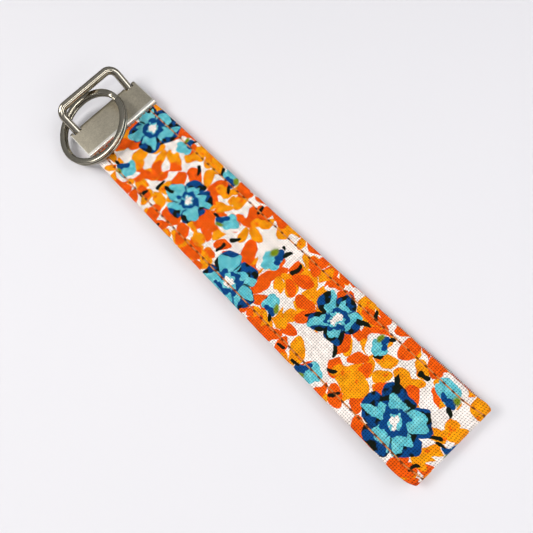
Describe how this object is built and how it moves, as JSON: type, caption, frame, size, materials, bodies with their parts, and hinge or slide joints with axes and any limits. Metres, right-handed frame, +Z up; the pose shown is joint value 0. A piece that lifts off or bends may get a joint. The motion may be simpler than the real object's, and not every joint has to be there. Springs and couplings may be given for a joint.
{
  "type": "wristlet keychain",
  "caption": "Folded fabric wrist strap pinched in a metal key fob clamp, with a swinging wire loop that carries a two-turn split ring for keys.",
  "frame": {"origin": "centre of the clamp's flat underside, which is the plane the keychain lies on", "axes": "+Y from the folded end of the strap towards the clamp's crest and the wire loop, +X across the strap, +Z up from the surface it lies on"},
  "size_m": [0.0392, 0.1784, 0.0119],
  "materials": {
    "clamp_steel": "satin nickel plate",
    "loop_wire": "polished nickel plate",
    "ring_wire": "polished nickel plate",
    "printed_cotton": "plain weave cotton with a loose floral print",
    "interfacing": "matte stiffener",
    "thread": "twisted sewing thread"
  },
  "bodies": {
    "clamp": {"clamp_body": "clamp_steel", "root_front_cover": "printed_cotton", "root_front_core": "interfacing", "root_front_thread": "thread", "root_back_cover": "printed_cotton", "root_back_core": "interfacing", "root_back_thread": "thread"},
    "loop": {"wire_loop": "loop_wire"},
    "ring": {"split_ring": "ring_wire"},
    "strap_neck": {"neck_front_cover": "printed_cotton", "neck_front_core": "interfacing", "neck_front_thread": "thread", "neck_back_cover": "printed_cotton", "neck_back_core": "interfacing", "neck_back_thread": "thread"},
    "leg_front_near": {"front_near_cover": "printed_cotton", "front_near_core": "interfacing", "front_near_thread": "thread"},
    "leg_front_far": {"front_far_cover": "printed_cotton", "front_far_core": "interfacing", "front_far_thread": "thread"},
    "strap_fold": {"fold_cover": "printed_cotton", "fold_core": "interfacing", "fold_thread": "thread"},
    "leg_back_far": {"back_far_cover": "printed_cotton", "back_far_core": "interfacing", "back_far_thread": "thread"},
    "leg_back_near": {"back_near_cover": "printed_cotton", "back_near_core": "interfacing", "back_near_thread": "thread"}
  },
  "joints": [
    {"name": "loop_swing", "type": "hinge", "parent": "clamp", "child": "loop", "pos_m": [0, 0.005, 0.0026], "axis": [1, 0, 0], "range_deg": [-40, 0]},
    {"name": "ring_swing", "type": "hinge", "parent": "loop", "child": "ring", "pos_m": [-0.009, 0.01341, 0.00222], "axis": [-0.7643, 0.3262, -0.5562], "range_deg": [0, 150]},
    {"name": "strap_flex", "type": "hinge", "parent": "clamp", "child": "strap_neck", "pos_m": [0, -0.0196, 0.0026], "axis": [-1, 0, 0], "range_deg": [-40, 40], "stiffness_Nm_per_rad": 0.01},
    {"name": "strap_open", "type": "hinge", "parent": "strap_neck", "child": "leg_front_near", "pos_m": [0, -0.0316, 0.0037], "axis": [-1, 0, 0], "range_deg": [0, 30], "stiffness_Nm_per_rad": 0.004},
    {"name": "front_knee", "type": "hinge", "parent": "leg_front_near", "child": "leg_front_far", "pos_m": [0, -0.0906, 0.0037], "axis": [-1, 0, 0], "range_deg": [-60, 0]},
    {"name": "front_fold", "type": "hinge", "parent": "leg_front_far", "child": "strap_fold", "pos_m": [0, -0.1496, 0.0037], "axis": [-1, 0, 0], "range_deg": [0, 30]},
    {"name": "back_fold", "type": "hinge", "parent": "strap_fold", "child": "leg_back_far", "pos_m": [0, -0.1496, 0.0015], "axis": [-1, 0, 0], "range_deg": [0, 30]},
    {"name": "back_knee", "type": "hinge", "parent": "leg_back_far", "child": "leg_back_near", "pos_m": [0, -0.0906, 0.0015], "axis": [-1, 0, 0], "range_deg": [-60, 0]}
  ],
  "couplings": [
    {"joint": "front_knee", "follows": "strap_open", "ratio": -2},
    {"joint": "front_fold", "follows": "strap_open", "ratio": 1},
    {"joint": "back_fold", "follows": "strap_open", "ratio": 1},
    {"joint": "back_knee", "follows": "strap_open", "ratio": -2}
  ]
}
